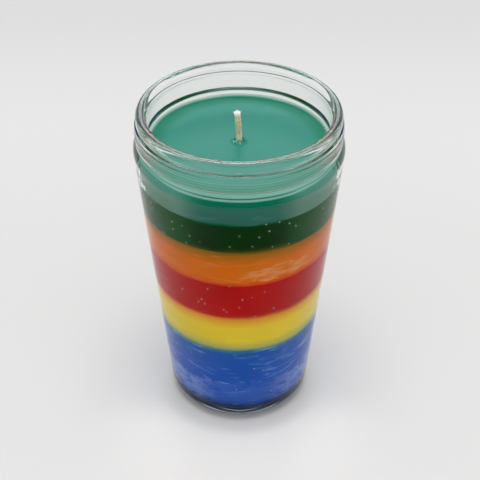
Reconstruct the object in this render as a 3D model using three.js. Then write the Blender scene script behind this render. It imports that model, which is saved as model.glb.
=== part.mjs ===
// A seven-layer container candle in a tapered glass tumbler.
// Millimetres, +Z up. The origin is the centre of the ring that the glass stands on.
// Every round piece is a revolved profile of [radius, height] points.

import * as THREE from 'three';

// Glass tumbler, outside
const glassHeight = 140;
const flankRadiusAtBase = 30.1;     // the straight flank, carried down to the table
const flankTopRadius = 40.9;        // where the flank ends in a waist under the shoulder
const waistHeight = 1.8;            // the waist is upright
const heelRadius = 8;               // the rounded edge between the flank and the standing ring
const puntRadius = 19.5;            // the shallow hollow under the base
const puntDepth = 1.8;
const shoulderRadius = 41.5;        // the widest place
const shoulderRise = 5.3;           // from the waist out to the widest place
const shoulderHeight = 3.8;         // and from there in to the crease under the neck
const neckFootRadius = 39.95;       // the crease
const neckHeight = 7.9;             // from the crease to the groove under the bead
const neckRadius = 40.6;            // the neck is a low barrel between the two
const neckRise = 4.6;               // from the crease out to its widest place
const neckTopRadius = 40.15;        // where the groove begins
const grooveHeight = 0.7;
const grooveRadius = 39.85;
const beadRadius = 40;              // the thick rounded bead of the lip
const beadHeight = 4.5;             // from the groove to the crest
const beadStep = 1.4;               // from the groove to the bead's widest place
const lipOuterCrest = 38.35;        // the crest is level between these two radii
const lipInnerCrest = 37.7;

// Glass tumbler, inside
const floorHeight = 6;
const wallAtFloor = 3.2;
const wallAtShoulder = 5.8;
const innerCornerRadius = 4;
const innerLipRadius = 35.8;
const innerLipDrop = 3.2;           // height of the inner rounding of the lip

// Wax: the first pour takes the height that the later ones leave
const headspace = 15;               // from the open surface of the wax to the crest of the lip
const firstPour = 'wax_blue';
const laterPourHeights = {
  wax_yellow: 19.2,
  wax_red: 17.8,
  wax_orange: 17.45,
  wax_dark_green: 13.65,
  wax_dusky_green: 8.8,
  wax_teal: 4.7,
};
const pourColors = {
  wax_blue: 0x0b3f92,
  wax_yellow: 0xc8b02a,
  wax_red: 0x9c0a1e,
  wax_orange: 0xb85f1c,
  wax_dark_green: 0x0a3b20,
  wax_dusky_green: 0x3c6c62,
  wax_teal: 0x3f9080,
};
const meniscusHeight = 0.7;         // the last pour climbs the glass
const meniscusWidth = 4.5;
const moundHeight = 0.8;            // and climbs the wick
const moundRadius = 4;

// Wick, its metal base and the sticker that holds the base down
const wickRadius = 1.2;
const wickStub = 13.6;              // the length that stands out of the wax
const wickLean = 0.8;               // how far the tip leans towards -X
const tipRadius = 1.7;              // the frayed, spread end
const tipHeight = 3;
const tipTopRadius = 1.2;
const baseDiscRadius = 10;
const baseDiscThickness = 0.4;
const baseNeckHeight = 4;
const baseNeckWall = 0.4;
const baseNeckFillet = 0.8;
const stickerRadius = 9;
const stickerThickness = 0.8;

// Clearances and facets
const seatGap = 0.3;                // between curved faces that touch on the real candle
const roundSides = 72;
const smallSides = 24;
const wickSides = 12;

// Heights and radii that follow from the sizes above
const beadBottom = glassHeight - beadHeight;
const neckBottom = beadBottom - neckHeight;
const shoulderWidest = neckBottom - shoulderHeight;
const shoulderFoot = shoulderWidest - shoulderRise;
const flankTopHeight = shoulderFoot - waistHeight;
const flankSlope = (flankTopRadius - flankRadiusAtBase) / flankTopHeight;
const innerTopRadius = shoulderRadius - wallAtShoulder;
const innerFloorRadius = flankRadiusAtBase + flankSlope * floorHeight - wallAtFloor;
const innerSlope = (innerTopRadius - innerFloorRadius) / (shoulderWidest - floorHeight);
const innerLipBottom = glassHeight - innerLipDrop;
const waxTop = glassHeight - headspace;
const stickerTop = floorHeight + stickerThickness;
const baseDiscTop = stickerTop + baseDiscThickness;
const baseNeckTop = stickerTop + baseNeckHeight;
const wickBore = wickRadius + seatGap;
const baseNeckOuter = wickBore + baseNeckWall;

const group = new THREE.Group();

// Points of an elliptical arc, angles in degrees, from the first to the last
function ellipse(centreR, centreZ, radiusR, radiusZ, fromDeg, toDeg, steps) {
  const points = [];
  for (let i = 0; i <= steps; i++) {
    const angle = THREE.MathUtils.degToRad(THREE.MathUtils.lerp(fromDeg, toDeg, i / steps));
    points.push([centreR + radiusR * Math.cos(angle), centreZ + radiusZ * Math.sin(angle)]);
  }
  return points;
}

function arc(centreR, centreZ, radius, fromDeg, toDeg, steps) {
  return ellipse(centreR, centreZ, radius, radius, fromDeg, toDeg, steps);
}

// Points of a smooth step between two points, upright at both ends
function uprightStep([fromR, fromZ], [toR, toZ], steps) {
  const points = [];
  for (let i = 0; i <= steps; i++) {
    const t = i / steps;
    const blend = (1 - Math.cos(Math.PI * t)) / 2;
    points.push([THREE.MathUtils.lerp(fromR, toR, blend), THREE.MathUtils.lerp(fromZ, toZ, t)]);
  }
  return points;
}

// Points of a smooth step between two points, level at both ends
function levelStep([fromR, fromZ], [toR, toZ], steps) {
  return uprightStep([fromZ, fromR], [toZ, toR], steps).map(([z, r]) => [r, z]);
}

// A solid of revolution about Z; a profile that leaves the axis free is closed on itself
function revolve(profile, sides) {
  const points = profile.map(([r, z]) => new THREE.Vector2(r, z));
  if (points[0].x > 0) {
    points.push(points[0].clone());
  }
  const geometry = new THREE.LatheGeometry(points, sides);
  geometry.rotateX(Math.PI / 2);
  return geometry;
}

function material(color, roughness, metalness = 0) {
  return new THREE.MeshStandardMaterial({ color, roughness, metalness });
}

function addPiece(name, geometry, pieceMaterial) {
  const mesh = new THREE.Mesh(geometry, pieceMaterial);
  mesh.name = name;
  group.add(mesh);
}

// The inside of the glass at any height: a straight flank, then a wall that closes in to the lip
function innerRadiusAt(z) {
  if (z <= shoulderWidest) {
    return innerFloorRadius + innerSlope * (z - floorHeight);
  }
  const rise = (z - shoulderWidest) / (innerLipBottom - shoulderWidest);
  return THREE.MathUtils.lerp(innerTopRadius, innerLipRadius, rise);
}

// The inside corner between floor and flank, moved in by a gap, from the floor up
function innerCorner(gap) {
  const tilt = Math.atan(innerSlope);
  const centreZ = floorHeight + innerCornerRadius;
  const centreR = innerRadiusAt(centreZ) - innerCornerRadius / Math.cos(tilt);
  return arc(centreR, centreZ, innerCornerRadius - gap, -90, -THREE.MathUtils.radToDeg(tilt), 5);
}

// From the middle of the underside, up the outside, over the lip and down to the floor
function glassProfile() {
  const tilt = Math.atan(flankSlope);
  const heelCentreR = flankRadiusAtBase + flankSlope * heelRadius - heelRadius / Math.cos(tilt);
  const shoulderDepth = shoulderRadius - neckFootRadius;
  const neckWidest = neckBottom + neckRise;
  const beadWidest = beadBottom + beadStep;
  const outerLip = beadRadius - lipOuterCrest;
  const innerLip = lipInnerCrest - innerLipRadius;
  return [
    ...levelStep([0, puntDepth], [puntRadius, 0], 4),
    ...arc(heelCentreR, heelRadius, heelRadius, -90, -THREE.MathUtils.radToDeg(tilt), 6),
    [flankTopRadius, flankTopHeight],
    ...uprightStep([flankTopRadius, shoulderFoot], [shoulderRadius, shoulderWidest], 4),
    ...ellipse(neckFootRadius, shoulderWidest, shoulderDepth, shoulderHeight, 0, 90, 6).slice(1),
    ...uprightStep([neckFootRadius, neckBottom], [neckRadius, neckWidest], 3).slice(1),
    ...uprightStep([neckRadius, neckWidest], [neckTopRadius, beadBottom - grooveHeight], 2).slice(1),
    [grooveRadius, beadBottom],
    ...uprightStep([grooveRadius, beadBottom], [beadRadius, beadWidest], 2).slice(1),
    ...ellipse(lipOuterCrest, beadWidest, outerLip, glassHeight - beadWidest, 0, 90, 6).slice(1),
    ...ellipse(lipInnerCrest, innerLipBottom, innerLip, innerLipDrop, 90, 180, 4),
    [innerTopRadius, shoulderWidest],
    ...innerCorner(0).reverse(),
    [0, floorHeight],
  ];
}

function stickerProfile() {
  return [[0, floorHeight], [stickerRadius, floorHeight], [stickerRadius, stickerTop], [0, stickerTop]];
}

// A stamped disc whose middle is drawn up into the neck that grips the wick
function wickBaseProfile() {
  const filletR = baseNeckOuter + baseNeckFillet;
  const filletZ = baseDiscTop + baseNeckFillet;
  return [
    [wickBore, stickerTop],
    [baseDiscRadius, stickerTop],
    [baseDiscRadius, baseDiscTop],
    ...arc(filletR, filletZ, baseNeckFillet, -90, -180, 4),
    [baseNeckOuter, baseNeckTop],
    [wickBore, baseNeckTop],
  ];
}

// The first pour fills the corner of the glass and flows round the metal base
function firstPourProfile(top) {
  const recessRadius = Math.max(baseDiscRadius, stickerRadius) + seatGap;
  const recessTop = baseDiscTop + seatGap;
  const neckRecess = baseNeckOuter + seatGap;
  return [
    [recessRadius, floorHeight + seatGap],
    ...innerCorner(seatGap),
    [innerRadiusAt(top) - seatGap, top],
    [wickBore, top],
    [wickBore, baseNeckTop + seatGap],
    [neckRecess, baseNeckTop + seatGap],
    [neckRecess, recessTop + baseNeckFillet],
    [neckRecess + baseNeckFillet, recessTop],
    [recessRadius, recessTop],
  ];
}

function middlePourProfile(bottom, top) {
  return [
    [wickBore, bottom],
    [innerRadiusAt(bottom) - seatGap, bottom],
    [innerRadiusAt(top) - seatGap, top],
    [wickBore, top],
  ];
}

// The last pour has the open surface, which climbs the glass and the wick
function lastPourProfile(bottom, top) {
  const edgeTop = top + meniscusHeight;
  const edgeRadius = innerRadiusAt(edgeTop) - seatGap;
  const moundWidth = moundRadius - wickBore;
  return [
    [wickBore, bottom],
    [innerRadiusAt(bottom) - seatGap, bottom],
    ...ellipse(edgeRadius - meniscusWidth, edgeTop, meniscusWidth, meniscusHeight, 0, -90, 5),
    ...ellipse(moundRadius, top + moundHeight, moundWidth, moundHeight, -90, -180, 5),
  ];
}

// The wick runs from the sticker to its frayed tip and leans a little where it is free
function wickGeometry() {
  const tipTop = waxTop + wickStub;
  const tipBottom = tipTop - tipHeight;
  const wickBottom = stickerTop + seatGap;
  const freeSteps = 6;
  const profile = [[0, wickBottom], [wickRadius, wickBottom]];
  for (let i = 0; i < freeSteps; i++) {
    profile.push([wickRadius, THREE.MathUtils.lerp(waxTop, tipBottom, i / freeSteps)]);
  }
  profile.push(...uprightStep([wickRadius, tipBottom], [tipRadius, tipTop - tipHeight / 4], 4));
  profile.push([tipTopRadius, tipTop], [0, tipTop]);
  const geometry = revolve(profile, wickSides);
  const positions = geometry.getAttribute('position');
  for (let i = 0; i < positions.count; i++) {
    const along = Math.max(0, (positions.getZ(i) - waxTop) / wickStub);
    positions.setX(i, positions.getX(i) - wickLean * along ** 1.5);
  }
  return geometry;
}

// The wax is poured layer on layer, and the first and last pours have their own profiles
function addWax() {
  const later = Object.entries(laterPourHeights);
  const laterTotal = later.reduce((sum, [, height]) => sum + height, 0);
  const lastPour = later[later.length - 1][0];
  let level = waxTop - laterTotal;
  addWaxPiece(firstPour, firstPourProfile(level));
  for (const [name, height] of later) {
    const profileOf = name === lastPour ? lastPourProfile : middlePourProfile;
    addWaxPiece(name, profileOf(level, level + height));
    level += height;
  }
}

function addWaxPiece(name, profile) {
  addPiece(name, revolve(profile, roundSides), material(pourColors[name], 0.35));
}

addPiece('glass_tumbler', revolve(glassProfile(), roundSides), material(0xdfe6e2, 0.05));
addWax();
addPiece('wick', wickGeometry(), material(0xd8cbb0, 0.9));
addPiece('wick_base', revolve(wickBaseProfile(), smallSides), material(0xb9babb, 0.4, 1));
addPiece('wick_base_sticker', revolve(stickerProfile(), smallSides), material(0xe8e6df, 0.8));

export default group;
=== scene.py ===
import math
import random

import bpy
import numpy as np
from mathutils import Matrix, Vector, noise


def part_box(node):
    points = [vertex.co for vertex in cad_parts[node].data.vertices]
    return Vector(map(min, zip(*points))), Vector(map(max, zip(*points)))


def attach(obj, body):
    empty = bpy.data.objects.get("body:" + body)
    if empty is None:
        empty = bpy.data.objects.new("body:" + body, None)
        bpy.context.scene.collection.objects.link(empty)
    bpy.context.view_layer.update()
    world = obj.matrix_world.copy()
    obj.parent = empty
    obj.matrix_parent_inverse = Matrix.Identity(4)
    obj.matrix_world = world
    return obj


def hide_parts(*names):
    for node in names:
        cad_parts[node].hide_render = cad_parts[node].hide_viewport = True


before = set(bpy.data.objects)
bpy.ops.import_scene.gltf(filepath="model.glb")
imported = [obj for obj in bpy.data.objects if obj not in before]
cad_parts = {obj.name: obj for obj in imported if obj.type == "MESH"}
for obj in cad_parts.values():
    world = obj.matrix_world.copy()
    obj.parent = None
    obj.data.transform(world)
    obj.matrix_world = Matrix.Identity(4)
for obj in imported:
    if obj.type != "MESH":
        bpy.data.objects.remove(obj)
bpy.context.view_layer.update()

MM = 0.001
ROUND_SIDES = 360

# The outside of the glass, from the foot up
GLASS_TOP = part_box("glass_tumbler")[1].z
SHOULDER_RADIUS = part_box("glass_tumbler")[1].x
PUNT_RADIUS = 19.5 * MM              # the hollow under the foot
PUNT_DEPTH = 1.8 * MM
HEEL_RADIUS = 8 * MM
FLANK_BASE_RADIUS = 30.1 * MM
FLANK_TOP_RADIUS = 40.9 * MM
WAIST_HEIGHT = 1.8 * MM
SHOULDER_RISE = 5.3 * MM
SHOULDER_HEIGHT = 3.8 * MM
SHOULDER_BREAK = 2.2 * MM            # the shoulder is round up to here, and then a cone up to the neck
SHOULDER_DROP = 0.42 * MM            # how much its round part narrows
SHOULDER_CORNER = 0.15 * MM          # the last of the cone, where the shading turns into the neck
NECK_FOOT_RADIUS = 40.3 * MM
NECK_HEIGHT = 7.9 * MM
NECK_RADIUS = 40.6 * MM
NECK_RISE = 4.6 * MM
NECK_TOP_RADIUS = 40.35 * MM
GROOVE_HEIGHT = 0.55 * MM
GROOVE_RADIUS = 39.5 * MM
BEAD_RADIUS = 40 * MM
BEAD_HEIGHT = 4.5 * MM
BEAD_STEP = 1.4 * MM
LIP_OUTER_CREST = 38.35 * MM
LIP_INNER_CREST = 37.7 * MM

GROOVE = GLASS_TOP - BEAD_HEIGHT
GROOVE_BOTTOM = GROOVE - GROOVE_HEIGHT
BEAD_WIDEST = GROOVE + BEAD_STEP
NECK_BOTTOM = GROOVE - NECK_HEIGHT
NECK_WIDEST = NECK_BOTTOM + NECK_RISE
SHOULDER = NECK_BOTTOM - SHOULDER_HEIGHT
SHOULDER_FOOT = SHOULDER - SHOULDER_RISE
FLANK_TOP = SHOULDER_FOOT - WAIST_HEIGHT
FLANK_SLOPE = (FLANK_TOP_RADIUS - FLANK_BASE_RADIUS) / FLANK_TOP

# The inside of the glass
STICKER_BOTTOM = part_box("wick_base_sticker")[0].z
FLOOR_GAP = 0.03 * MM                # the air under the sticker
GLASS_FLOOR = STICKER_BOTTOM - FLOOR_GAP
WALL_AT_FLOOR = 3.2 * MM
WALL_AT_SHOULDER = 5.8 * MM
INNER_CORNER = 1.5 * MM
INNER_LIP_RADIUS = 35.8 * MM
INNER_LIP_DROP = 3.2 * MM

INNER_TOP_RADIUS = SHOULDER_RADIUS - WALL_AT_SHOULDER
INNER_FLOOR_RADIUS = FLANK_BASE_RADIUS + FLANK_SLOPE * STICKER_BOTTOM - WALL_AT_FLOOR
INNER_SLOPE = (INNER_TOP_RADIUS - INNER_FLOOR_RADIUS) / (SHOULDER - STICKER_BOTTOM)
INNER_LIP_BOTTOM = GLASS_TOP - INNER_LIP_DROP

# The wax, from the first pour to the last
POURS = [
    "wax_blue",
    "wax_yellow",
    "wax_red",
    "wax_orange",
    "wax_dark_green",
    "wax_dusky_green",
    "wax_teal",
]
WAX_TOP = GLASS_TOP - 15 * MM
LEVELS = [STICKER_BOTTOM] + [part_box(name)[1].z for name in POURS[:-1]] + [WAX_TOP]
LAYER_TILT = 0.015                   # the boundaries rise towards +X
BOND = 0.05 * MM                     # the wax reaches this far into the glass, so that no air shows
CORNER_SHRINK = 0.3 * MM             # it has drawn back from the bottom corner of the glass
BORE = 0.5 * MM                      # inside the wick, where it can't be seen

# The recess for the metal base
RECESS_GAP = 0.3 * MM
RECESS_NECK_RADIUS = 2.2 * MM
BASE_THICKNESS = 0.4 * MM

# The open surface of the last pour
FILM_HEIGHT = 1.3 * MM               # how far the wax climbs the glass
FILM_REACH = 0.55 * MM
CRUST_RADIUS = 2 * MM                # the lumpy mound round the wick
CRUST_REACH = 1 * MM                 # it falls off over this width
CRUST_LUMP = 0.75 * MM
CRUST_DEPTH = 0.9 * MM
MOUND_HEIGHT = 0.7 * MM
WAVE_LENGTH = 13 * MM
WAVE_HEIGHT = 0.05 * MM
WAVE_SLICE = 5                       # of the noise, away from that of the lumps
WAVE_MARGIN = 6 * MM                 # the waves die out over this width at the glass

# The faint rings of the glass, in the neck and in the wall above the wax
NECK_RIPPLE = 0.03 * MM
WALL_RIPPLE = 0.018 * MM
WALL_RIPPLE_BOTTOM = WAX_TOP + FILM_HEIGHT + 0.3 * MM
RIPPLES = [(1, 5.1, 0), (0.6, 8.3, 1), (0.5, 3.1, 2)]  # share, radians to the millimetre and phase

# The upper wax has come away from the glass on the left and right, in patches with ragged edges
LOOSE_BOTTOM = LEVELS[POURS.index("wax_dusky_green")] - 1 * MM
LOOSE_TOP = WAX_TOP - 2.4 * MM
LOOSE_FACING = 0.3                   # the sine of how far the patches reach forwards and backwards
LOOSE_EDGE = 0.03                    # and of the width over which they come loose
LOOSE_STEP = 0.4 * MM                # the height over which they come loose
LOOSE_DRIFT = (3, 6 * MM)            # noise: its patches to the radius, and the height of one
LOOSE_ISLANDS = (22, 2.5 * MM)
ISLAND_SHARE = 1.5
LOOSE_RAGGED = 0.12
LOOSE_SWING = 4 * MM
LOOSE_GAP = 0.06 * MM

# The wick
WICK_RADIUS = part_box("wick")[1].x
WICK_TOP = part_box("wick")[1].z
WICK_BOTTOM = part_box("wick")[0].z


# Profiles: lists of (radius, height)
def ellipse(centre_r, centre_z, radius_r, radius_z, from_deg, to_deg, steps):
    angles = np.radians(np.linspace(from_deg, to_deg, steps + 1))
    return [(centre_r + radius_r * math.cos(a), centre_z + radius_z * math.sin(a)) for a in angles]


def upright_step(start, end, steps):
    """A smooth step between two points, upright at both ends."""
    made = []
    for t in np.linspace(0, 1, steps + 1):
        blend = (1 - math.cos(math.pi * t)) / 2
        made.append((start[0] + (end[0] - start[0]) * blend, start[1] + (end[1] - start[1]) * t))
    return made


def level_step(start, end, steps):
    """A smooth step between two points, level at both ends."""
    return [(r, z) for z, r in upright_step(start[::-1], end[::-1], steps)]


def inner_radius(z):
    """The inside radius of the glass at a height above the corner."""
    if z <= SHOULDER:
        return INNER_FLOOR_RADIUS + INNER_SLOPE * (z - STICKER_BOTTOM)
    rise = (z - SHOULDER) / (INNER_LIP_BOTTOM - SHOULDER)
    return INNER_TOP_RADIUS + (INNER_LIP_RADIUS - INNER_TOP_RADIUS) * rise


def inner_corner(radius, offset, steps):
    """The round corner between floor and flank, moved outwards by an offset."""
    tilt = math.atan(INNER_SLOPE)
    centre_z = GLASS_FLOOR + radius
    centre_r = inner_radius(centre_z) - radius / math.cos(tilt)
    reach = radius + offset
    return ellipse(centre_r, centre_z, reach, reach, -90, -math.degrees(tilt), steps)


def rippled(points, depth):
    """The same points with faint rings, which fade to nothing at both ends."""
    made = []
    for i, (r, z) in enumerate(points):
        fall = math.sin(math.pi * i / (len(points) - 1)) ** 0.5
        wave = sum(share * math.sin(z / MM * rate + phase) for share, rate, phase in RIPPLES)
        made.append((r + depth * wave * fall, z))
    return made


def foot_profile():
    """From the middle of the hollow to the foot of the straight flank."""
    tilt = math.atan(FLANK_SLOPE)
    heel_r = FLANK_BASE_RADIUS + FLANK_SLOPE * HEEL_RADIUS - HEEL_RADIUS / math.cos(tilt)
    return (
        level_step((0, PUNT_DEPTH), (PUNT_RADIUS, 0), 24)
        + ellipse(heel_r, HEEL_RADIUS, HEEL_RADIUS, HEEL_RADIUS, -90, -math.degrees(tilt), 28)
    )


def shoulder_profile():
    """From the top of the flank to just under the neck."""
    rounded = []
    for t in np.linspace(0, 1, 20)[1:]:
        rounded.append((SHOULDER_RADIUS - SHOULDER_DROP * t * t, SHOULDER + SHOULDER_BREAK * t))
    last_r, last_z = rounded[-1]
    corner = SHOULDER_CORNER * (last_r - NECK_FOOT_RADIUS) / (NECK_BOTTOM - last_z)
    return (
        [(FLANK_TOP_RADIUS, FLANK_TOP)]
        + upright_step((FLANK_TOP_RADIUS, SHOULDER_FOOT), (SHOULDER_RADIUS, SHOULDER), 24)
        + rounded
        + [(NECK_FOOT_RADIUS + corner, NECK_BOTTOM - SHOULDER_CORNER)]
    )


def neck_profile():
    """From the crease over the shoulder to the widest place of the bead."""
    neck = upright_step((NECK_FOOT_RADIUS, NECK_BOTTOM), (NECK_RADIUS, NECK_WIDEST), 30)
    neck += upright_step((NECK_RADIUS, NECK_WIDEST), (NECK_TOP_RADIUS, GROOVE_BOTTOM), 30)[1:]
    return (
        rippled(neck, NECK_RIPPLE)
        + upright_step((NECK_TOP_RADIUS, GROOVE_BOTTOM), (GROOVE_RADIUS, GROOVE), 8)[1:]
        + upright_step((GROOVE_RADIUS, GROOVE), (BEAD_RADIUS, BEAD_WIDEST), 12)[1:]
    )


def lip_profile():
    """Over the lip, from the widest place of the bead to the free wall inside."""
    outer = BEAD_RADIUS - LIP_OUTER_CREST
    inner = LIP_INNER_CREST - INNER_LIP_RADIUS
    return (
        ellipse(LIP_OUTER_CREST, BEAD_WIDEST, outer, GLASS_TOP - BEAD_WIDEST, 0, 90, 24)[1:]
        + ellipse(LIP_INNER_CREST, INNER_LIP_BOTTOM, inner, INNER_LIP_DROP, 90, 180, 18)
    )


def inside_profile():
    """From the free wall down to the middle of the floor."""
    heights = np.linspace(INNER_LIP_BOTTOM, WALL_RIPPLE_BOTTOM, 70)
    return (
        rippled([(inner_radius(z), z) for z in heights], WALL_RIPPLE)[1:]
        + [(INNER_TOP_RADIUS, SHOULDER)]
        + inner_corner(INNER_CORNER, 0, 16)[::-1]
        + [(0, GLASS_FLOOR)]
    )


def wick_recess():
    """The space in the first pour for the metal base and its sticker, from the bore out to the floor."""
    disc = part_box("wick_base")[1].x + RECESS_GAP
    disc_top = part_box("wick_base_sticker")[1].z + BASE_THICKNESS + RECESS_GAP
    neck_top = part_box("wick_base")[1].z + RECESS_GAP
    return [
        (BORE, neck_top),
        (RECESS_NECK_RADIUS, neck_top),
        (RECESS_NECK_RADIUS, disc_top),
        (disc, disc_top),
        (disc, GLASS_FLOOR - BOND),
    ]


# Rings of points round the axis
def around(radius, angle, z):
    return (radius * math.cos(angle), radius * math.sin(angle), z)


def ring_of(point_at):
    """The points that a function of the angle gives, all the way round."""
    return [point_at(i * 2 * math.pi / ROUND_SIDES) for i in range(ROUND_SIDES)]


def level_ring(radius, z):
    if radius == 0:
        return [(0.0, 0.0, float(z))]
    return ring_of(lambda angle: around(radius, angle, z))


def bore_ring(z):
    """The end of a pour's bore, on a plane that rises towards +X."""
    return ring_of(lambda angle: around(BORE, angle, z + LAYER_TILT * BORE * math.cos(angle)))


def clamp(value):
    return min(1.0, max(0.0, value))


def wall_noise(angle, z, patches, height):
    return noise.noise(Vector(around(patches, angle, z / height)))


def wall_reach(angle, z):
    """How far the side of the wax lies outside the inside of the glass: below 0 where it is loose."""
    islands = wall_noise(angle, z, *LOOSE_ISLANDS)
    drift = LOOSE_RAGGED * (wall_noise(angle, z, *LOOSE_DRIFT) + ISLAND_SHARE * islands)
    loose = clamp((LOOSE_FACING + drift - abs(math.sin(angle))) / LOOSE_EDGE)
    rise = clamp((z - LOOSE_BOTTOM - drift * LOOSE_SWING) / LOOSE_STEP)
    fall = clamp((LOOSE_TOP - z) / LOOSE_STEP)
    return BOND - (BOND + LOOSE_GAP) * loose * rise * fall


def wall_ring(z):
    """A level ring that follows the inside of the glass, and leaves it where the wax is loose."""
    return ring_of(lambda angle: around(inner_radius(z) + wall_reach(angle, z), angle, z))


# Meshes
def add_object(name, vertices, faces, smooth=True):
    mesh = bpy.data.meshes.new(name)
    mesh.from_pydata(vertices, [], faces)
    mesh.validate()
    mesh.polygons.foreach_set("use_smooth", [smooth] * len(mesh.polygons))
    mesh.update()
    made = bpy.data.objects.new(name, mesh)
    bpy.context.scene.collection.objects.link(made)
    return made


def ring_faces(counts, closed=False):
    """Faces between rings, by the number of points in each; a ring of one point is a pole."""
    starts = [sum(counts[:i]) for i in range(len(counts))]
    pairs = [(i, i + 1) for i in range(len(counts) - 1)]
    if closed:
        pairs.append((len(counts) - 1, 0))
    faces = []
    for low, high in pairs:
        a, b = starts[low], starts[high]
        sides = max(counts[low], counts[high])
        for i in range(sides):
            j = (i + 1) % sides
            if counts[low] == 1:
                faces.append((a, b + j, b + i))
            elif counts[high] == 1:
                faces.append((a + i, a + j, b))
            else:
                faces.append((a + i, a + j, b + j, b + i))
    return faces


def rings_to_mesh(name, rings, closed=False):
    """A surface through rings of points, which goes on from the last to the first if it is closed."""
    vertices = [point for ring in rings for point in ring]
    return add_object(name, vertices, ring_faces([len(ring) for ring in rings], closed))


# Nodes
def new_material(name):
    made = bpy.data.materials.new(name)
    made.use_nodes = True
    tree = made.node_tree
    return made, tree, tree.nodes["Principled BSDF"]


def put(tree, socket, value):
    """A link where the value is a socket, and a setting where it is a number or a colour."""
    if isinstance(value, bpy.types.NodeSocket):
        tree.links.new(value, socket)
    else:
        socket.default_value = value


def calc(tree, operation, *values):
    made = tree.nodes.new("ShaderNodeMath")
    made.operation = operation
    for socket, value in zip(made.inputs, values):
        put(tree, socket, value)
    return made.outputs[0]


def times(tree, product, *factors):
    for factor in factors:
        product = calc(tree, "MULTIPLY", product, factor)
    return product


def plus(tree, value, other, share):
    """The value plus a share of the other."""
    return calc(tree, "MULTIPLY_ADD", other, share, value)


def between(tree, value, low, high):
    """A value from 0 to 1, turned into one from low to high."""
    return calc(tree, "MULTIPLY_ADD", value, high - low, low)


def vector_calc(tree, operation, vector, other):
    made = tree.nodes.new("ShaderNodeVectorMath")
    made.operation = operation
    put(tree, made.inputs[0], vector)
    put(tree, made.inputs[1], other)
    return made.outputs["Value" if operation == "DOT_PRODUCT" else "Vector"]


def fade(tree, value, zero_at, one_at):
    """A smooth ramp: 0 where the value is zero_at and 1 where it is one_at."""
    made = tree.nodes.new("ShaderNodeMapRange")
    made.interpolation_type = "SMOOTHSTEP"
    put(tree, made.inputs["Value"], value)
    rising = zero_at < one_at
    made.inputs["From Min"].default_value = min(zero_at, one_at)
    made.inputs["From Max"].default_value = max(zero_at, one_at)
    made.inputs["To Min"].default_value = 0.0 if rising else 1.0
    made.inputs["To Max"].default_value = 1.0 if rising else 0.0
    return made.outputs["Result"]


def grain(tree, place, pattern):
    """Noise from 0 to 1. A pattern: patches to the metre across and upwards, detail, roughness."""
    across, up, detail, roughness = pattern
    made = tree.nodes.new("ShaderNodeTexNoise")
    put(tree, made.inputs["Vector"], vector_calc(tree, "MULTIPLY", place, (across, across, up)))
    made.inputs["Scale"].default_value = 1.0
    made.inputs["Detail"].default_value = detail
    made.inputs["Roughness"].default_value = roughness
    return made.outputs["Fac"]


def swing(tree, place, pattern):
    """The same noise, from -0.5 to 0.5."""
    return calc(tree, "SUBTRACT", grain(tree, place, pattern), 0.5)


SPECK_CORE = 0.6                     # a dot is full up to this share of its radius


def specks(tree, place, per_metre, radius, share):
    """Small round dots: 1 in a dot and 0 outside, in a share of the cells."""
    made = tree.nodes.new("ShaderNodeTexVoronoi")
    put(tree, made.inputs["Vector"], place)
    made.inputs["Scale"].default_value = per_metre
    edge = radius * per_metre
    dot = fade(tree, made.outputs["Distance"], edge, edge * SPECK_CORE)
    parts = tree.nodes.new("ShaderNodeSeparateColor")
    put(tree, parts.inputs[0], made.outputs["Color"])
    return times(tree, dot, calc(tree, "LESS_THAN", parts.outputs[0], share))


MIX_COLOURS = (6, 7)                 # the sockets of a Mix node that are for colours
MIX_RESULT = 2


def mix(tree, amount, colour, other):
    made = tree.nodes.new("ShaderNodeMix")
    made.data_type = "RGBA"
    put(tree, made.inputs[0], amount)
    for socket, value in zip(MIX_COLOURS, (colour, other)):
        put(tree, made.inputs[socket], value)
    return made.outputs[MIX_RESULT]


def ramp(tree, value, stops):
    """A colour ramp through (value, colour) stops in the value's own units."""
    low, high = stops[0][0], stops[-1][0]
    made = tree.nodes.new("ShaderNodeValToRGB")
    put(tree, made.inputs[0], calc(tree, "DIVIDE", calc(tree, "SUBTRACT", value, low), high - low))
    elements = made.color_ramp.elements
    while len(elements) < len(stops):
        elements.new(0.5)
    for element, (at, colour) in zip(elements, stops):
        element.position = (at - low) / (high - low)
        element.color = colour
    return made.outputs[0]


def place_on_piece(tree):
    return tree.nodes.new("ShaderNodeTexCoord").outputs["Object"]


def split(tree, place):
    """The X, Y and Z of a place, by name."""
    made = tree.nodes.new("ShaderNodeSeparateXYZ")
    put(tree, made.inputs[0], place)
    return made.outputs


def off_axis(tree, parts):
    """The distance from the candle's axis."""
    squares = [times(tree, parts[axis], parts[axis]) for axis in ("X", "Y")]
    return calc(tree, "SQRT", calc(tree, "ADD", *squares))


def facing(tree, place, azimuth):
    """The cosine of the angle round the axis from an azimuth, in degrees from the viewer's side."""
    angle = math.radians(azimuth)
    made = tree.nodes.new("ShaderNodeVectorMath")
    made.operation = "NORMALIZE"
    put(tree, made.inputs[0], vector_calc(tree, "MULTIPLY", place, (1, 1, 0)))
    aim = (math.sin(angle), -math.cos(angle), 0)
    return vector_calc(tree, "DOT_PRODUCT", made.outputs["Vector"], aim)


def bump(tree, shader, height, distance):
    made = tree.nodes.new("ShaderNodeBump")
    made.inputs["Distance"].default_value = distance
    put(tree, made.inputs["Height"], height)
    tree.links.new(made.outputs["Normal"], shader.inputs["Normal"])


# Colours, which are written in 0 to 255 as the eye sees them
def srgb(r, g, b):
    """A colour as the linear values that the materials take."""
    shares = [c / 255 for c in (r, g, b)]
    return tuple(((c + 0.055) / 1.055) ** 2.4 if c > 0.04045 else c / 12.92 for c in shares) + (1.0,)


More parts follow.
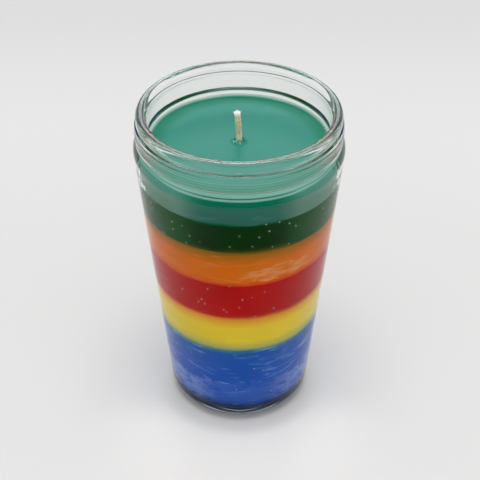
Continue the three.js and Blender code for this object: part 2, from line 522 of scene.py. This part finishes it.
# The glass mirrors a little light over the wax, passes at most half of what the wax scatters, and
# returns some of it to the wax
VEIL = 0.0097
PASSED = {
    "wax_blue": 0.44,
    "wax_yellow": 0.41,
    "wax_red": 0.5,
    "wax_orange": 0.416,
    "wax_dark_green": 0.48,
    "wax_dusky_green": 0.5,
    "wax_teal": 0.5,
}
RETURNED = 0.27
PALEST = 0.95


def under_glass(name, r, g, b):
    """What a pour's colour has to be, so that it looks like this one behind the glass it clings to."""
    scattered = [max(0.0, c - VEIL) for c in srgb(r, g, b)[:3]]
    return tuple(min(PALEST, c / (PASSED[name] + RETURNED * c)) for c in scattered) + (1.0,)


# Glass: its flank mirrors little, as if seen through a polarising filter, and its foot gets painted
# shade
GLASS_TINT = (0.97, 0.985, 0.978, 1)
FOOT_PAINTED_SHADE = (0.09, 0.13, 0.15, 1)
FOOT_SHADE_FADE = (12 * MM, 9.5 * MM)
FLANK_GLOSS = (0.05, 0.05, 0.05, 1)
FULL_GLOSS = (1, 1, 1, 1)
GLOSS_FADE = (SHOULDER + 0.5 * MM, SHOULDER + 1.5 * MM)
GLASS_WAVES = (25, 260, 2.0, 0.5)
GLASS_WAVE_DEPTH = 0.05 * MM


def glass_material():
    """Clear glass with a faint green tint, painted shade at the foot, and the slow level waves of a
    pressed tumbler.
    """
    made, tree, shader = new_material("clear_glass")
    place = place_on_piece(tree)
    height = split(tree, place)["Z"]
    gloss = fade(tree, height, *GLOSS_FADE)
    put(tree, shader.inputs["Specular Tint"], mix(tree, gloss, FLANK_GLOSS, FULL_GLOSS))
    # painted shade: the glass's colour is darkened towards the foot
    foot_shade = fade(tree, height, *FOOT_SHADE_FADE)
    put(tree, shader.inputs["Base Color"], mix(tree, foot_shade, GLASS_TINT, FOOT_PAINTED_SHADE))
    shader.inputs["Roughness"].default_value = 0.0
    shader.inputs["IOR"].default_value = 1.5
    shader.inputs["Transmission Weight"].default_value = 1.0
    bump(tree, shader, grain(tree, place, GLASS_WAVES), GLASS_WAVE_DEPTH)
    return made


# Wax behind glass
POUR_COLOURS = {
    "wax_blue": (2, 70, 149),
    "wax_yellow": (197, 173, 46),
    "wax_red": (149, 1, 17),
    "wax_orange": (180, 91, 18),
    "wax_dark_green": (3, 43, 14),
    "wax_dusky_green": (46, 90, 80),
    "wax_teal": (10, 98, 75),
}
# Where two pours meet: their mixed colour, and how far it fades into the lower and the upper one
BLEEDS = [
    ((100, 127, 98), 2.3 * MM, 5.5 * MM),
    ((171, 92, 43), 6.0 * MM, 1.8 * MM),
    ((166, 50, 32), 1.3 * MM, 3.5 * MM),
    ((90, 78, 33), 6.0 * MM, 2.2 * MM),
    ((24, 74, 51), 1.2 * MM, 1.2 * MM),
    ((30, 98, 81), 1.5 * MM, 0.8 * MM),
]
BLEED_KNEE = 0.3                     # at this share of the way, half of the mixed colour is gone
BLEED_WANDER = (45, 60, 2.0, 0.5)
BLEED_WANDER_HEIGHT = 2.2 * MM
BLEED_FRAY = (260, 420, 3.0, 0.5)
BLEED_FRAY_HEIGHT = 0.8 * MM
BLEED_MARGIN = 2.5 * MM              # the colours go on this far beyond a pour's own heights
FAR_BEYOND = 50 * MM                 # and those of the first and the last pour this far


def halfway(colour, other):
    return tuple((a + b) / 2 for a, b in zip(colour, other))


def bleed_stops(name, low, high):
    """The colours down the side between two heights, as (height, colour)."""
    stops = [(LEVELS[0] - FAR_BEYOND, POUR_COLOURS[POURS[0]])]
    for i, (mixed, down, up) in enumerate(BLEEDS):
        level = LEVELS[i + 1]
        below, above = POUR_COLOURS[POURS[i]], POUR_COLOURS[POURS[i + 1]]
        stops += [
            (level - down, below),
            (level - down * BLEED_KNEE, halfway(mixed, below)),
            (level, mixed),
            (level + up * BLEED_KNEE, halfway(mixed, above)),
            (level + up, above),
        ]
    stops.append((LEVELS[-1] + FAR_BEYOND, POUR_COLOURS[POURS[-1]]))
    heights = [at for at, colour in stops]
    channels = list(zip(*(colour for at, colour in stops)))

    def colour_at(height):
        return tuple(float(np.interp(height, heights, channel)) for channel in channels)

    inside = [(at, colour) for at, colour in stops if low < at < high]
    stops = [(low, colour_at(low))] + inside + [(high, colour_at(high))]
    return [(at, under_glass(name, *colour)) for at, colour in stops]


# The last three pours are paler towards the sides, as painted reflection of the pale room: their colour
# there, and the cosines of its fade
SIDE_REFLECTION_COLOURS = {
    "wax_dark_green": (28, 66, 34),
    "wax_dusky_green": (84, 118, 104),
    "wax_teal": (64, 128, 112),
}
SIDE_REFLECTION_FADE = (0.95, 0.76)


def with_painted_side_reflection(tree, place, name, colour):
    # painted reflection: the pour turns paler towards its sides
    aside = fade(tree, facing(tree, place, 0), *SIDE_REFLECTION_FADE)
    return mix(tree, aside, colour, under_glass(name, *SIDE_REFLECTION_COLOURS[name]))


# Fine level streaks: how much they show, and their colour
STREAKS = {
    "wax_blue": (1.0, (84, 136, 190)),
    "wax_orange": (0.3, (200, 130, 70)),
    "wax_dusky_green": (0.25, (90, 130, 120)),
}
STREAK_LINES = (110, 900, 5.0, 0.62)
STREAK_LINES_FADE = (0.52, 0.62)
STREAK_PATCHES = (70, 190, 3.0, 0.5)
STREAK_PATCHES_FADE = (0.45, 0.6)


def with_streaks(tree, place, name, colour):
    share, pale = STREAKS[name]
    lines = fade(tree, grain(tree, place, STREAK_LINES), *STREAK_LINES_FADE)
    patches = fade(tree, grain(tree, place, STREAK_PATCHES), *STREAK_PATCHES_FADE)
    return mix(tree, times(tree, lines, patches, share), colour, under_glass(name, *pale))


# The pale patch low on the blue pour, with a ragged upper edge and holes, and thin at the front
BLUE_PATCH_TOP = 23 * MM
BLUE_PATCH_SWING = (55, 70, 2.0, 0.5)
BLUE_PATCH_SWING_HEIGHT = 13 * MM
BLUE_PATCH_RAG = (260, 330, 6.0, 0.7)
BLUE_PATCH_RAG_HEIGHT = 11 * MM
BLUE_PATCH_EDGE = (-0.2 * MM, 0.5 * MM)
BLUE_PATCH_HOLES = (170, 330, 6.0, 0.7)
BLUE_PATCH_HOLES_FADE = (0.4, 0.5)
BLUE_PATCH_AZIMUTH = 4
BLUE_PATCH_FADE = (0.97, 0.7)
BLUE_PATCH_AT_FRONT = 0.2


def blue_patch(tree, place, level):
    edge = plus(tree, BLUE_PATCH_TOP, swing(tree, place, BLUE_PATCH_SWING), BLUE_PATCH_SWING_HEIGHT)
    edge = plus(tree, edge, swing(tree, place, BLUE_PATCH_RAG), BLUE_PATCH_RAG_HEIGHT)
    patch = fade(tree, calc(tree, "SUBTRACT", edge, level), *BLUE_PATCH_EDGE)
    holes = fade(tree, grain(tree, place, BLUE_PATCH_HOLES), *BLUE_PATCH_HOLES_FADE)
    aside = fade(tree, facing(tree, place, BLUE_PATCH_AZIMUTH), *BLUE_PATCH_FADE)
    return times(tree, patch, holes, between(tree, aside, BLUE_PATCH_AT_FRONT, 1.0))


# The pale, scratched smear low on the right of the orange pour
SMEAR_AZIMUTH = 24
SMEAR_FADE = (0.88, 0.96)
SMEAR_BOTTOM = (82.5 * MM, 83.2 * MM)
SMEAR_TOP = (89.5 * MM, 88.6 * MM)
SMEAR_RAG = (150, 300, 5.0, 0.65)
SMEAR_RAG_HEIGHT = 9 * MM
SMEAR_SCRATCHES = (160, 600, 5.0, 0.65)
SMEAR_SCRATCHES_FADE = (0.36, 0.6)


def orange_smear(tree, place, level):
    wavy = plus(tree, level, swing(tree, place, SMEAR_RAG), SMEAR_RAG_HEIGHT)
    band = times(tree, fade(tree, wavy, *SMEAR_BOTTOM), fade(tree, wavy, *SMEAR_TOP))
    scratches = fade(tree, grain(tree, place, SMEAR_SCRATCHES), *SMEAR_SCRATCHES_FADE)
    aside = fade(tree, facing(tree, place, SMEAR_AZIMUTH), *SMEAR_FADE)
    return times(tree, aside, band, scratches)


# The pale patches of a pour: where they are, their colour and their strength, which is uneven
PATCHES = {
    "wax_blue": (blue_patch, (98, 122, 178), 0.75),
    "wax_orange": (orange_smear, (202, 130, 78), 0.8),
}
PATCH_UNEVEN = (300, 500, 5.0, 0.7)
PATCH_STRENGTHS = (0.2, 1.8)


def with_patches(tree, place, level, name, colour):
    where, pale, strength = PATCHES[name]
    uneven = between(tree, grain(tree, place, PATCH_UNEVEN), *PATCH_STRENGTHS)
    amount = times(tree, where(tree, place, level), strength, uneven)
    return mix(tree, amount, colour, under_glass(name, *pale))


# Small bubbles: the share of the cells that have one
BUBBLES = {"wax_red": 0.05, "wax_dark_green": 0.05, "wax_blue": 0.015}
BUBBLE_CELLS = 850                   # to the metre
BUBBLE_RADIUS = 0.35 * MM
BUBBLE_STRENGTH = 0.75
BUBBLE_COLOUR = (205, 195, 185)


def with_bubbles(tree, place, name, colour):
    dots = specks(tree, place, BUBBLE_CELLS, BUBBLE_RADIUS, BUBBLES[name])
    amount = times(tree, dots, BUBBLE_STRENGTH)
    return mix(tree, amount, colour, under_glass(name, *BUBBLE_COLOUR))


# The last pour has painted highlights round its top: a pale band, split by a darker seam into two arcs
HIGHLIGHT_BAND = (WAX_TOP - 3.2 * MM, WAX_TOP - 2.8 * MM)
HIGHLIGHT_SEAM = WAX_TOP - 2.2 * MM
HIGHLIGHT_SEAM_EDGE = (0.1 * MM, 0.35 * MM)
HIGHLIGHT_WANDER_HEIGHT = 0.8 * MM
HIGHLIGHT_STRENGTH = 0.75
HIGHLIGHT_PAINT_COLOUR = (125, 182, 168)


def with_painted_highlight_band(tree, height, wander, name, colour):
    uneven = plus(tree, height, wander, HIGHLIGHT_WANDER_HEIGHT)
    from_seam = calc(tree, "ABSOLUTE", calc(tree, "SUBTRACT", uneven, HIGHLIGHT_SEAM))
    # painted highlight: two pale arcs with a darker seam between them
    pale = times(tree, fade(tree, uneven, *HIGHLIGHT_BAND), fade(tree, from_seam, *HIGHLIGHT_SEAM_EDGE))
    return mix(tree, times(tree, pale, HIGHLIGHT_STRENGTH), colour, under_glass(name, *HIGHLIGHT_PAINT_COLOUR))


# The dye of the sides is uneven in slow clouds, and so is their roughness
DYE_CLOUD = (60, 90, 4.0, 0.5)
DYE_SHADES = (0.88, 1.12)
SIDE_ROUGHNESS = (0.4, 0.6)


def side_material(index):
    """Dyed wax behind glass: the pours bleed into each other, with uneven dye and small faults, painted
    reflection at the sides of the upper pours and painted highlights at the top.
    """
    name = POURS[index]
    made, tree, shader = new_material(name + "_side")
    place = place_on_piece(tree)
    parts = split(tree, place)
    level = plus(tree, parts["Z"], parts["X"], -LAYER_TILT)
    wander = swing(tree, place, BLEED_WANDER)
    frayed = plus(tree, level, swing(tree, place, BLEED_FRAY), BLEED_FRAY_HEIGHT)
    frayed = plus(tree, frayed, wander, BLEED_WANDER_HEIGHT)
    low, high = LEVELS[index] - BLEED_MARGIN, LEVELS[index + 1] + BLEED_MARGIN
    colour = ramp(tree, frayed, bleed_stops(name, low, high))
    if name in SIDE_REFLECTION_COLOURS:
        colour = with_painted_side_reflection(tree, place, name, colour)
    cloud = grain(tree, place, DYE_CLOUD)
    colour = vector_calc(tree, "MULTIPLY", colour, between(tree, cloud, *DYE_SHADES))
    if name in STREAKS:
        colour = with_streaks(tree, place, name, colour)
    if name in PATCHES:
        colour = with_patches(tree, place, level, name, colour)
    if name in BUBBLES:
        colour = with_bubbles(tree, place, name, colour)
    # painted highlights round the top of the last pour
    if name == POURS[-1]:
        colour = with_painted_highlight_band(tree, parts["Z"], wander, name, colour)
    put(tree, shader.inputs["Base Color"], colour)
    put(tree, shader.inputs["Roughness"], between(tree, cloud, *SIDE_ROUGHNESS))
    shader.inputs["Specular IOR Level"].default_value = 0.0
    return made


# Open wax: its dark ring, its pale film on the glass, and the painted shade and highlights of the crust
TOP_COLOUR = srgb(46, 133, 118)
TOP_RING_COLOUR = srgb(0, 116, 90)
TOP_RING_FADE = (27.5 * MM, 33 * MM)
TOP_RING_WOBBLE = (55, 55, 2.0, 0.5)
TOP_RING_WOBBLE_WIDTH = 4 * MM
FILM_COLOUR = srgb(186, 207, 200)
FILM_FADE = (WAX_TOP + 0.25 * MM, WAX_TOP + 1.25 * MM)
FILM_FADE_RAG = 0.3 * MM
FILM_OUTSIDE = (20 * MM, 25 * MM)
CRUST_FADE = (3.0 * MM, 2.2 * MM)
CRUST_GRAIN = (1100, 400, 2.0, 0.5)
# Painted shade and painted highlights on the crust: their colours, and the noise between which they come
# in
CRUST_SHADE_AND_HIGHLIGHTS = [(srgb(0, 92, 70), (0.44, 0.36)), (srgb(158, 208, 192), (0.54, 0.64))]
TOP_CLOUD = (70, 70, 4.0, 0.5)
TOP_SHADES = (0.9, 1.1)
TOP_ROUGHNESS = (0.32, 0.52)
TOP_GRAIN = (160, 160, 5.0, 0.5)
TOP_GRAIN_DEPTH = 0.05 * MM


def top_material():
    """The open wax: satin, darker in a ring where it starts to climb, pale where it thins out, and with
    painted shade and highlights on the crust.
    """
    made, tree, shader = new_material("wax_teal_top")
    place = place_on_piece(tree)
    parts = split(tree, place)
    radius = off_axis(tree, parts)
    cloud = grain(tree, place, TOP_CLOUD)
    wobbly = plus(tree, radius, swing(tree, place, TOP_RING_WOBBLE), TOP_RING_WOBBLE_WIDTH)
    colour = mix(tree, fade(tree, wobbly, *TOP_RING_FADE), TOP_COLOUR, TOP_RING_COLOUR)
    # painted shade in the crust's hollows and painted highlights on its lumps
    crust = fade(tree, radius, *CRUST_FADE)
    lump = grain(tree, place, CRUST_GRAIN)
    for paint_colour, paint_fade in CRUST_SHADE_AND_HIGHLIGHTS:
        painted_crust = times(tree, crust, fade(tree, lump, *paint_fade))
        colour = mix(tree, painted_crust, colour, paint_colour)
    colour = vector_calc(tree, "MULTIPLY", colour, between(tree, cloud, *TOP_SHADES))
    film = fade(tree, plus(tree, parts["Z"], cloud, FILM_FADE_RAG), *FILM_FADE)
    film = times(tree, film, fade(tree, radius, *FILM_OUTSIDE))
    put(tree, shader.inputs["Base Color"], mix(tree, film, colour, FILM_COLOUR))
    put(tree, shader.inputs["Roughness"], between(tree, cloud, *TOP_ROUGHNESS))
    shader.inputs["Specular IOR Level"].default_value = 0.12
    bump(tree, shader, grain(tree, place, TOP_GRAIN), TOP_GRAIN_DEPTH)
    return made


# Cotton: clean at the frayed end, and soaked near the wax
COTTON_FIBRES = (2600, 900, 3.0, 0.5)
COTTON_FIBRES_FADE = (0.3, 0.7)
COTTON_FIBRE_DEPTH = 0.06 * MM
COTTON_COLOURS = (srgb(196, 184, 148), srgb(240, 233, 208))
STAINS = (500, 300, 3.0, 0.5)
STAINS_FADE = (0.5, 0.62)
STAIN_STRENGTH = 0.6
STAIN_COLOUR = srgb(176, 176, 122)
CLEAN_COLOUR = srgb(250, 249, 246)
CLEAN_FADE = (WICK_TOP - 1.9 * MM, WICK_TOP - 1.2 * MM)
CLEAN_RAG = 2 * MM
WET_FADE = (WAX_TOP + 1.8 * MM, WAX_TOP + 0.6 * MM)
WET_STRENGTH = 0.5


def cotton_material():
    """Waxed cotton, beige between the strands, and clean and white where the end is frayed."""
    made, tree, shader = new_material("cotton_wick")
    place = place_on_piece(tree)
    height = split(tree, place)["Z"]
    fibre = grain(tree, place, COTTON_FIBRES)
    stain = grain(tree, place, STAINS)
    colour = mix(tree, fade(tree, fibre, *COTTON_FIBRES_FADE), *COTTON_COLOURS)
    stained = times(tree, fade(tree, stain, *STAINS_FADE), STAIN_STRENGTH)
    colour = mix(tree, stained, colour, STAIN_COLOUR)
    uneven = plus(tree, height, calc(tree, "SUBTRACT", stain, 0.5), CLEAN_RAG)
    colour = mix(tree, fade(tree, uneven, *CLEAN_FADE), colour, CLEAN_COLOUR)
    wet = times(tree, fade(tree, height, *WET_FADE), WET_STRENGTH)
    put(tree, shader.inputs["Base Color"], mix(tree, wet, colour, TOP_RING_COLOUR))
    shader.inputs["Roughness"].default_value = 0.75
    shader.inputs["Sheen Weight"].default_value = 0.2
    bump(tree, shader, fibre, COTTON_FIBRE_DEPTH)
    return made


# Sheets with fine marks
TIN = {
    "pattern": (900, 900, 4.0, 0.5),
    "colours": (srgb(172, 172, 170), srgb(205, 205, 202)),
    "roughness": (0.25, 0.55),
    "depth": 0.01 * MM,
}
PAPER = {
    "pattern": (700, 700, 5.0, 0.5),
    "colours": (srgb(216, 213, 204), srgb(238, 236, 229)),
    "roughness": (0.7, 0.9),
    "depth": 0.02 * MM,
}


def marked_material(name, pattern, colours, roughness, depth):
    made, tree, shader = new_material(name)
    marks = grain(tree, place_on_piece(tree), pattern)
    put(tree, shader.inputs["Base Color"], mix(tree, marks, *colours))
    put(tree, shader.inputs["Roughness"], between(tree, marks, *roughness))
    bump(tree, shader, marks, depth)
    return made, shader


def tin_material():
    made, shader = marked_material("tinned_sheet", **TIN)
    shader.inputs["Metallic"].default_value = 1.0
    return made


def sticker_material():
    return marked_material("sticker_paper", **PAPER)[0]


# Pieces
def finish_piece(piece, node_name, slot, *materials):
    for material in materials:
        piece.data.materials.append(material)
    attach(piece, "root")
    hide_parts(node_name)


def dress(node_name, material):
    """Gives a CAD piece that stays its own material."""
    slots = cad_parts[node_name].data.materials
    slots.clear()
    slots.append(material)


def make_glass():
    profile = foot_profile() + shoulder_profile() + neck_profile() + lip_profile() + inside_profile()
    piece = rings_to_mesh("tumbler_glass", [level_ring(r, z) for r, z in profile])
    finish_piece(piece, "glass_tumbler", "clear_glass", glass_material())


# Wax: the rings of the open surface crowd towards the glass, and lie close together at the wick
WALL_RINGS = 12                      # of the last pour
FILM_EDGE = inner_radius(WAX_TOP + FILM_HEIGHT) + BOND
FILM_WIDTH = 9 * MM
FILM_CROWDING = 1.6
CRUST_WIDTH = 6 * MM


def open_surface(radius, angle):
    """A point of the open wax: a film on the glass, a lumpy mound at the wick, faint waves between."""
    x, y = radius * math.cos(angle), radius * math.sin(angle)
    inwards = FILM_EDGE - radius
    climb = FILM_HEIGHT * math.exp(-inwards / FILM_REACH)
    fall = math.exp(-(max(0.0, radius - CRUST_RADIUS) / CRUST_REACH) ** 2)
    lumps = noise.noise(Vector((x, y, 0)) / CRUST_LUMP) * CRUST_DEPTH
    calm = min(1.0, inwards / WAVE_MARGIN)
    waves = noise.noise(Vector((x, y, WAVE_SLICE)) / WAVE_LENGTH) * WAVE_HEIGHT
    return (x, y, WAX_TOP + climb + (MOUND_HEIGHT + lumps) * fall + waves * calm)


def surface_ring(radius):
    return ring_of(lambda angle: open_surface(radius, angle))


def first_pour_rings(high):
    corner = INNER_CORNER + CORNER_SHRINK
    rings = [level_ring(r, z) for r, z in wick_recess() + inner_corner(corner, BOND, 14)]
    rings += [wall_ring(z) for z in np.linspace(GLASS_FLOOR + corner, high, 40)[1:]]
    return rings + [bore_ring(high)]


def middle_pour_rings(low, high):
    return [bore_ring(low)] + [wall_ring(z) for z in np.linspace(low, high, 20)] + [bore_ring(high)]


def last_pour_rings(low, high):
    near_glass = FILM_EDGE - np.linspace(0, 1, 26) ** FILM_CROWDING * FILM_WIDTH
    middle = np.linspace(near_glass[-1], CRUST_WIDTH, 24)[1:]
    near_wick = np.linspace(CRUST_WIDTH, BORE, 60)[1:]
    walls = [wall_ring(z) for z in np.linspace(low, high, WALL_RINGS)]
    return [bore_ring(low)] + walls + [surface_ring(r) for r in [*near_glass, *middle, *near_wick]]


def make_wax(index):
    name = POURS[index]
    low, high = LEVELS[index], LEVELS[index + 1]
    materials = [side_material(index)]
    last = index == len(POURS) - 1
    if index == 0:
        rings = first_pour_rings(high)
    elif last:
        rings = last_pour_rings(low, high)
        materials.append(top_material())
    else:
        rings = middle_pour_rings(low, high)
    piece = rings_to_mesh(name.replace("wax_", "poured_wax_"), rings, True)
    if last:
        for face in piece.data.polygons:
            lowest_ring = min(face.vertices) // ROUND_SIDES
            face.material_index = 1 if lowest_ring >= WALL_RINGS else 0
    finish_piece(piece, name, name.replace("wax_", "") + "_wax", *materials)


# Wick: a core, strands braided over it and a frayed end
WICK_LEAN = 0.8 * MM
LEAN_BEND = 1.5
BRAID_RADIUS = 0.78 * MM
BRAID_WEAVE = 0.1 * MM
BRAID_LUMP = 1.1 * MM
BRAID_UNEVEN = 0.05 * MM
BRAID_NOISE_STEP = 7                 # from the noise of one strand to that of the next
FRAY_BOTTOM = WICK_TOP - 1.4 * MM
CORE_TOP = FRAY_BOTTOM + 0.5 * MM
CORE_HIDDEN = WAX_TOP - 2 * MM       # from here down, inside the wax, it is thicker
CORE_HIDDEN_RADIUS = 0.75 * WICK_RADIUS
STRAND_COUNT = 4                     # in each of the two directions
STRAND_PITCH = 6.4 * MM
STRAND_STEPS = 40                    # to the pitch
STRAND_RADIUS = 0.4 * MM
STRAND_BOTTOM = WAX_TOP - 3 * MM
STRAND_TOP = FRAY_BOTTOM + 0.9 * MM
FIBRE_COUNT = 110
FIBRE_STEPS = 8
FIBRE_RADIUS = 0.085 * MM
FIBRE_RADII = (1.25 * FIBRE_RADIUS, 0.55 * FIBRE_RADIUS)  # at the foot and at the tip
FIBRE_PLACES = (0.085, 0.85)         # where the fibres start, as shares of the wick's radius
FIBRE_SHORTFALL = (0.1 * MM, 0.9 * MM)  # how far under the tip of the wick they end
FIBRE_ROOT = 0.6 * MM
FIBRE_SPREAD = 0.85 * MM
FIBRE_BEND = 1.5
FIBRE_TWIST = 0.5
RANDOM_SEED = 7
TUBE_ASIDE = Vector((0.3, 1, 0.1))   # a direction in which no tube runs


def wick_centre(z):
    along = max(0.0, (z - WAX_TOP) / (WICK_TOP - WAX_TOP))
    return Vector((float(-WICK_LEAN * along ** LEAN_BEND), 0, float(z)))


def tube(points, radii, sides):
    """Vertices and faces of a closed tube through points."""
    vertices, counts = [Vector(points[0])], [1]
    for i, (point, radius) in enumerate(zip(points, radii)):
        ahead = Vector(points[min(i + 1, len(points) - 1)]) - Vector(points[max(i - 1, 0)])
        side = ahead.cross(TUBE_ASIDE).normalized()
        other = ahead.cross(side).normalized()
        for k in range(sides):
            turn = k * 2 * math.pi / sides
            spoke = math.cos(turn) * side + math.sin(turn) * other
            vertices.append(Vector(point) + float(radius) * spoke)
        counts.append(sides)
    vertices.append(Vector(points[-1]))
    counts.append(1)
    return vertices, ring_faces(counts)


def strand_points(direction, number):
    """A strand that winds round the wick, over and under those of the other direction."""
    points = []
    for z in np.arange(STRAND_BOTTOM, STRAND_TOP, STRAND_PITCH / STRAND_STEPS):
        turns = (z - STRAND_BOTTOM) / STRAND_PITCH
        angle = direction * 2 * math.pi * turns + 2 * math.pi * number / STRAND_COUNT
        weave = math.cos(2 * math.pi * STRAND_COUNT * turns)
        uneven = noise.noise(Vector((number * BRAID_NOISE_STEP + direction, 0, z / BRAID_LUMP)))
        reach = BRAID_RADIUS + direction * BRAID_WEAVE * weave + uneven * BRAID_UNEVEN
        points.append(wick_centre(z) + Vector(around(reach, angle, 0)))
    return points


def fibre_points(rng):
    """One loose fibre of the frayed end, from inside the braid to a random height and spread."""
    angle = rng.uniform(0, 2 * math.pi)
    start = rng.uniform(*FIBRE_PLACES) * WICK_RADIUS
    top = WICK_TOP - rng.uniform(*FIBRE_SHORTFALL)
    bottom = FRAY_BOTTOM - rng.uniform(0, FIBRE_ROOT)
    spread = rng.uniform(0, FIBRE_SPREAD)
    twist = rng.uniform(-FIBRE_TWIST, FIBRE_TWIST)
    points = []
    for t in np.linspace(0, 1, FIBRE_STEPS):
        z = bottom + (top - bottom) * t
        reach = start + spread * t ** FIBRE_BEND
        points.append(wick_centre(z) + Vector(around(reach, angle + twist * t, 0)))
    return points


def make_wick():
    rng = random.Random(RANDOM_SEED)
    vertices, faces = [], []

    def add_tube(points, radii, sides):
        more, more_faces = tube(points, radii, sides)
        start = len(vertices)
        vertices.extend(more)
        faces.extend(tuple(start + i for i in face) for face in more_faces)

    heights = np.linspace(WICK_BOTTOM, CORE_TOP, 40)
    radii = [CORE_HIDDEN_RADIUS if z < CORE_HIDDEN else BRAID_RADIUS for z in heights]
    add_tube([wick_centre(z) for z in heights], radii, 16)
    for direction in (1, -1):
        for number in range(STRAND_COUNT):
            points = strand_points(direction, number)
            add_tube(points, [STRAND_RADIUS] * len(points), 8)
    for _ in range(FIBRE_COUNT):
        add_tube(fibre_points(rng), np.linspace(*FIBRE_RADII, FIBRE_STEPS), 5)
    piece = add_object("braided_wick", vertices, faces)
    finish_piece(piece, "wick", "cotton", cotton_material())


# Floor: a little darker far behind the candle, with painted light in a patch in front of it that takes
# back part of its shadow
FLOOR_REACH = 3.0                    # from the axis to its edges
FLOOR_COLOUR = srgb(215, 215, 215)
FAR_COLOUR = srgb(205, 205, 205)
FAR_FADE = (0.2, 0.42)
NEAR_PAINTED_LIGHT = srgb(237, 236, 234)
NEAR_INSIDE = (33 * MM, 41 * MM)
NEAR_OUTSIDE = (100 * MM, 42 * MM)
NEAR_FORWARD = (-10 * MM, -35 * MM)
NEAR_ASIDE = (75 * MM, 25 * MM)
FLOOR_PULP = (900, 900, 4.0, 0.5)
FLOOR_SHADES = (0.99, 1.01)


def make_floor():
    corners = [(x * FLOOR_REACH, y * FLOOR_REACH, 0) for x, y in [(-1, -1), (1, -1), (1, 1), (-1, 1)]]
    floor = add_object("floor", corners, [(0, 1, 2, 3)], False)
    material, tree, shader = new_material("floor_paper")
    place = place_on_piece(tree)
    parts = split(tree, place)
    colour = mix(tree, fade(tree, parts["Y"], *FAR_FADE), FLOOR_COLOUR, FAR_COLOUR)
    radius = off_axis(tree, parts)
    # painted light: the floor is lighter in front of the candle, where its shadow falls
    painted_light = times(
        tree,
        fade(tree, radius, *NEAR_INSIDE),
        fade(tree, radius, *NEAR_OUTSIDE),
        fade(tree, parts["Y"], *NEAR_FORWARD),
        fade(tree, calc(tree, "ABSOLUTE", parts["X"]), *NEAR_ASIDE),
    )
    colour = mix(tree, painted_light, colour, NEAR_PAINTED_LIGHT)
    pulp = between(tree, grain(tree, place, FLOOR_PULP), *FLOOR_SHADES)
    put(tree, shader.inputs["Base Color"], vector_calc(tree, "MULTIPLY", colour, pulp))
    shader.inputs["Roughness"].default_value = 0.9
    shader.inputs["Specular IOR Level"].default_value = 0.0
    floor.data.materials.append(material)


# Light: a pale room, lighter towards the viewer and at both sides, with a lamp and a window
ROOM_GLOW = 0.36
FRONT_GLOW = 0.5
FRONT_FADE = (-0.1, 0.6)
SIDE_GLOW = 0.4
SIDE_GLOW_FADE = (0.45, 0.85)
LAMP_GLOW = 5.3
LAMP_HALF_ANGLE = math.radians(17)
LAMP_EDGE = math.radians(3)
WINDOW_GLOW = 3.5
WINDOW_ELEVATION = math.radians(33)
WINDOW_HALF_WIDTH = 0.24
WINDOW_HALF_HEIGHT = 0.12
WINDOW_EDGE = 0.08
WINDOW_AHEAD = (0.0, 0.2)


def make_world():
    """The room, with a soft round lamp overhead and one soft window high at the back."""
    world = bpy.data.worlds.new("studio")
    bpy.context.scene.world = world
    world.use_nodes = True
    tree = world.node_tree
    background = tree.nodes["Background"]
    background.inputs["Color"].default_value = (1, 1, 1, 1)
    direction = tree.nodes.new("ShaderNodeTexCoord").outputs["Generated"]

    def towards(x, y, z):
        return vector_calc(tree, "DOT_PRODUCT", direction, (x, y, z))

    rise, reach = math.sin(WINDOW_ELEVATION), math.cos(WINDOW_ELEVATION)
    across = calc(tree, "ABSOLUTE", towards(1, 0, 0))
    along = calc(tree, "ABSOLUTE", towards(0, -rise, reach))
    window = times(
        tree,
        fade(tree, across, WINDOW_HALF_WIDTH + WINDOW_EDGE, WINDOW_HALF_WIDTH),
        fade(tree, along, WINDOW_HALF_HEIGHT + WINDOW_EDGE, WINDOW_HALF_HEIGHT),
        fade(tree, towards(0, reach, rise), *WINDOW_AHEAD),
    )
    lamp_edges = [math.cos(LAMP_HALF_ANGLE + edge) for edge in (LAMP_EDGE, -LAMP_EDGE)]
    lamp = fade(tree, towards(0, 0, 1), *lamp_edges)
    glow = plus(tree, ROOM_GLOW, fade(tree, towards(0, -1, 0), *FRONT_FADE), FRONT_GLOW)
    glow = plus(tree, glow, fade(tree, across, *SIDE_GLOW_FADE), SIDE_GLOW)
    glow = plus(tree, glow, window, WINDOW_GLOW)
    put(tree, background.inputs["Strength"], plus(tree, glow, lamp, LAMP_GLOW))


# Camera
CAMERA_PITCH = math.radians(37.226)
CAMERA_DISTANCE = 439.575 * MM
CAMERA_TARGET = Vector((0.3 * MM, 0, 76.56 * MM))
CLIP_START = 10 * MM
FOCAL_PIXELS = 1050
FRAME_PIXELS = 480
SENSOR_WIDTH = 36


def make_camera():
    data = bpy.data.cameras.new("camera")
    data.sensor_width = SENSOR_WIDTH
    data.lens = SENSOR_WIDTH * FOCAL_PIXELS / FRAME_PIXELS
    data.clip_start = CLIP_START
    camera = bpy.data.objects.new("camera", data)
    back = Vector((0, -math.cos(CAMERA_PITCH), math.sin(CAMERA_PITCH)))
    camera.location = CAMERA_TARGET + back * CAMERA_DISTANCE
    camera.rotation_euler = (math.pi / 2 - CAMERA_PITCH, 0, 0)
    bpy.context.scene.collection.objects.link(camera)
    bpy.context.scene.camera = camera


def set_render_paths():
    """Enough bounces for light that goes through the glass, into the wax and back."""
    scene = bpy.context.scene
    scene.view_settings.view_transform = "Standard"
    scene.cycles.max_bounces = 24
    scene.cycles.transmission_bounces = 20
    scene.cycles.glossy_bounces = 8
    scene.cycles.diffuse_bounces = 6
    scene.cycles.blur_glossy = 0.0


make_glass()
for index in range(len(POURS)):
    make_wax(index)
make_wick()
dress("wick_base", tin_material())
dress("wick_base_sticker", sticker_material())
make_floor()
make_world()
make_camera()
set_render_paths()
